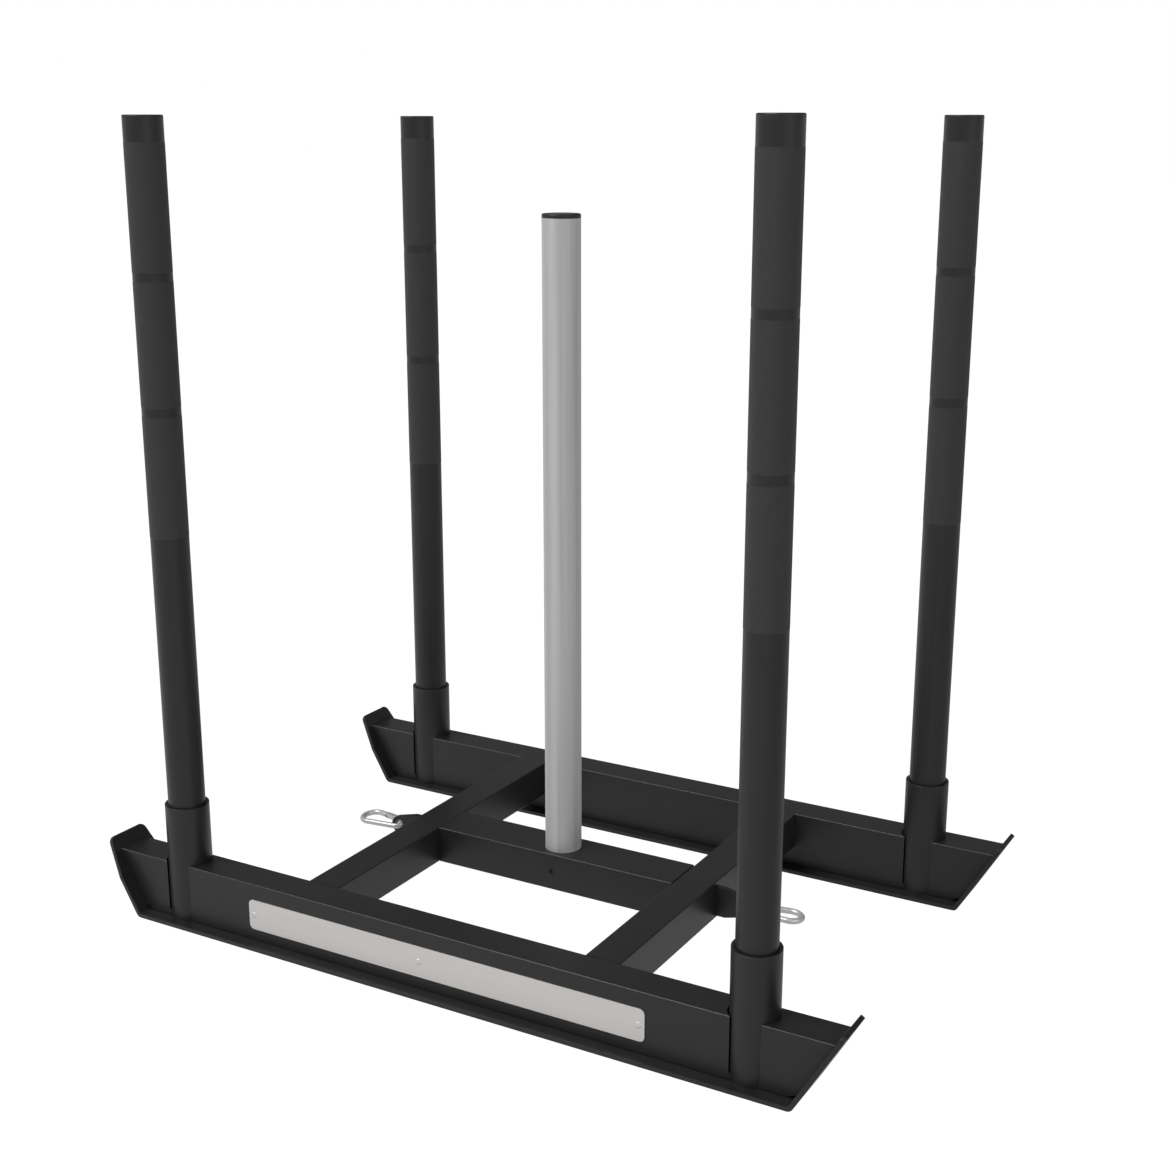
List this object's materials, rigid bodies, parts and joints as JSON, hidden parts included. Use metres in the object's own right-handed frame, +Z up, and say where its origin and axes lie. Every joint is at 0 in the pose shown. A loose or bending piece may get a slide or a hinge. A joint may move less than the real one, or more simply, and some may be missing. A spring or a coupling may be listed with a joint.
{
  "type": "push sled",
  "caption": "Push sled with upturned runners, lift-out push poles in sockets, a centre post for weight discs and sprung snap hooks on tow lugs.",
  "frame": {"origin": "centre of the footprint, on the ground under the middle of the sled", "axes": "+X along the runners towards the picture's right, +Y across the sled to its far side, +Z up"},
  "size_m": [1.084, 0.661, 1.064],
  "materials": {
    "black_powder_coat": "satin black powder coat",
    "black_knurled_coat": "satin black coat over knurled steel tube",
    "black_plastic": "moulded black plastic",
    "grey_zinc": "satin grey zinc plate",
    "bright_zinc": "bright zinc plate",
    "brushed_plate": "fine brushed along its length",
    "dark_steel": "black oxide"
  },
  "bodies": {
    "sled_frame": {"base_plate_near": "black_powder_coat", "base_plate_far": "black_powder_coat", "rail_near_left": "black_powder_coat", "rail_near_middle": "black_powder_coat", "rail_near_right": "black_powder_coat", "rail_far_left": "black_powder_coat", "rail_far_middle": "black_powder_coat", "rail_far_right": "black_powder_coat", "socket_near_left": "black_powder_coat", "socket_near_right": "black_powder_coat", "socket_far_left": "black_powder_coat", "socket_far_right": "black_powder_coat", "cross_member_left": "black_powder_coat", "cross_member_right": "black_powder_coat", "centre_beam": "black_powder_coat", "weight_post": "grey_zinc", "post_cap": "black_plastic", "post_set_screw": "dark_steel", "tow_lug_left": "black_powder_coat", "tow_lug_right": "black_powder_coat", "name_plate": "brushed_plate", "plate_rivet_left": "brushed_plate", "plate_rivet_middle": "brushed_plate", "plate_rivet_right": "brushed_plate"},
    "push_pole_near_left": {"pole_near_left": "black_knurled_coat", "pole_cap_near_left": "black_plastic", "pole_foot_near_left": "black_plastic"},
    "push_pole_near_right": {"pole_near_right": "black_knurled_coat", "pole_cap_near_right": "black_plastic", "pole_foot_near_right": "black_plastic"},
    "push_pole_far_left": {"pole_far_left": "black_knurled_coat", "pole_cap_far_left": "black_plastic", "pole_foot_far_left": "black_plastic"},
    "push_pole_far_right": {"pole_far_right": "black_knurled_coat", "pole_cap_far_right": "black_plastic", "pole_foot_far_right": "black_plastic"},
    "left_hook": {"snap_hook_left": "bright_zinc", "gate_pin_left": "bright_zinc"},
    "left_gate": {"hook_gate_left": "bright_zinc", "gate_plunger_left": "dark_steel", "gate_spring_left": "bright_zinc"},
    "right_hook": {"snap_hook_right": "bright_zinc", "gate_pin_right": "bright_zinc"},
    "right_gate": {"hook_gate_right": "bright_zinc", "gate_plunger_right": "dark_steel", "gate_spring_right": "bright_zinc"}
  },
  "joints": [
    {"name": "pole_lift_near_left", "type": "slide", "parent": "sled_frame", "child": "push_pole_near_left", "axis": [0, 0, 1], "range_m": [0, 0.17]},
    {"name": "pole_lift_near_right", "type": "slide", "parent": "sled_frame", "child": "push_pole_near_right", "axis": [0, 0, 1], "range_m": [0, 0.17]},
    {"name": "pole_lift_far_left", "type": "slide", "parent": "sled_frame", "child": "push_pole_far_left", "axis": [0, 0, 1], "range_m": [0, 0.17]},
    {"name": "pole_lift_far_right", "type": "slide", "parent": "sled_frame", "child": "push_pole_far_right", "axis": [0, 0, 1], "range_m": [0, 0.17]},
    {"name": "hook_swing_left", "type": "hinge", "parent": "sled_frame", "child": "left_hook", "pos_m": [-0.2741, 0, 0.06], "axis": [0, -1, 0], "range_deg": [-90, 45]},
    {"name": "hook_swing_right", "type": "hinge", "parent": "sled_frame", "child": "right_hook", "pos_m": [0.2791, -0.0018, 0.0603], "axis": [0, 1, 0], "range_deg": [-90, 45]},
    {"name": "gate_open_left", "type": "hinge", "parent": "left_hook", "child": "left_gate", "pos_m": [-0.28543, 0.01203, 0.06021], "axis": [-0.0506, -0.0648, 0.9966], "range_deg": [0, 28], "stiffness_Nm_per_rad": 0.3, "springref_deg": -28.65},
    {"name": "gate_open_right", "type": "hinge", "parent": "right_hook", "child": "right_gate", "pos_m": [0.29372, -0.0095, 0.05999], "axis": [0.0561, 0.0667, 0.9962], "range_deg": [0, 28], "stiffness_Nm_per_rad": 0.3, "springref_deg": -28.65}
  ]
}
